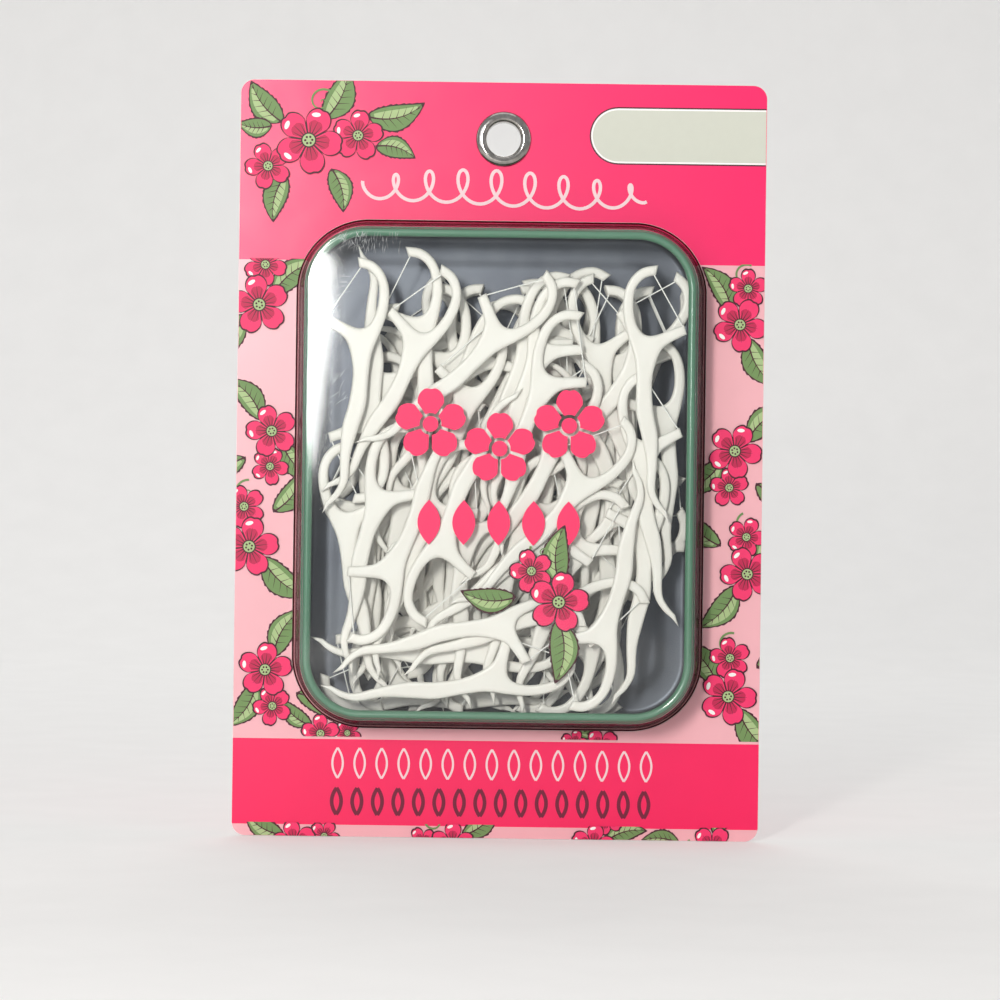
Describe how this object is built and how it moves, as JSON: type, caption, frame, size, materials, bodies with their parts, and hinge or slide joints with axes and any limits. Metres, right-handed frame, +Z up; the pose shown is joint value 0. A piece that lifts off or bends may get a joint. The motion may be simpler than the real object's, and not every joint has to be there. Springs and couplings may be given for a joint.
{
  "type": "floss pick travel tin",
  "caption": "Open tin of loose floss picks under a clear blister on a hanging card, with a slip lid nested behind the base and a tear-out door in the back.",
  "frame": {"origin": "centre of the eyelet's hole, halfway through the thickness of the card", "axes": "+Z up the hanging card, +Y through the card to its back, so the tin faces -Y, and +X to the right as seen from the front"},
  "size_m": [0.15, 0.0255, 0.2155],
  "materials": {
    "printed_board": "printed and gloss coated",
    "board": "printed and gloss coated",
    "clear_sheet": "clear thermoformed sheet",
    "eyelet": "bright nickel plate",
    "tinplate": "gloss enamel outside, bare inside",
    "pick": "moulded, satin",
    "floss": "waxed strand"
  },
  "bodies": {
    "pack": {"front_ply": "printed_board", "back_ply": "board", "blister": "clear_sheet", "eyelet_barrel": "eyelet", "eyelet_washer": "eyelet"},
    "back_door": {"back_door": "board"},
    "tin_lid": {"tin_lid": "tinplate"},
    "tin_base": {"tin_base": "tinplate", "pick_01": "pick", "pick_02": "pick", "pick_03": "pick", "pick_04": "pick", "pick_05": "pick", "pick_06": "pick", "pick_07": "pick", "pick_08": "pick", "pick_09": "pick", "pick_10": "pick", "pick_11": "pick", "pick_12": "pick", "pick_13": "pick", "pick_14": "pick", "pick_15": "pick", "pick_16": "pick", "pick_17": "pick", "pick_18": "pick", "pick_19": "pick", "pick_20": "pick", "pick_21": "pick", "pick_22": "pick", "pick_23": "pick", "pick_24": "pick", "pick_25": "pick", "pick_26": "pick", "pick_27": "pick", "pick_28": "pick", "pick_29": "pick", "pick_30": "pick", "pick_31": "pick", "pick_32": "pick", "pick_33": "pick", "pick_34": "pick", "pick_35": "pick", "pick_36": "pick", "pick_37": "pick", "pick_38": "pick", "pick_25_floss": "floss", "pick_26_floss": "floss", "pick_27_floss": "floss", "pick_28_floss": "floss", "pick_29_floss": "floss", "pick_30_floss": "floss", "pick_31_floss": "floss", "pick_32_floss": "floss", "pick_33_floss": "floss", "pick_34_floss": "floss", "pick_35_floss": "floss", "pick_36_floss": "floss", "pick_37_floss": "floss", "pick_38_floss": "floss"}
  },
  "joints": [
    {"name": "door_slide", "type": "slide", "parent": "pack", "child": "back_door", "axis": [0, 1, 0], "range_m": [0, 0.09]},
    {"name": "lid_slide", "type": "slide", "parent": "pack", "child": "tin_lid", "axis": [0, 1, 0], "range_m": [0, 0.0675]},
    {"name": "tin_slide", "type": "slide", "parent": "pack", "child": "tin_base", "axis": [0, 1, 0], "range_m": [0, 0.045]}
  ],
  "couplings": [
    {"joint": "lid_slide", "follows": "door_slide", "ratio": 0.75},
    {"joint": "tin_slide", "follows": "door_slide", "ratio": 0.5}
  ]
}
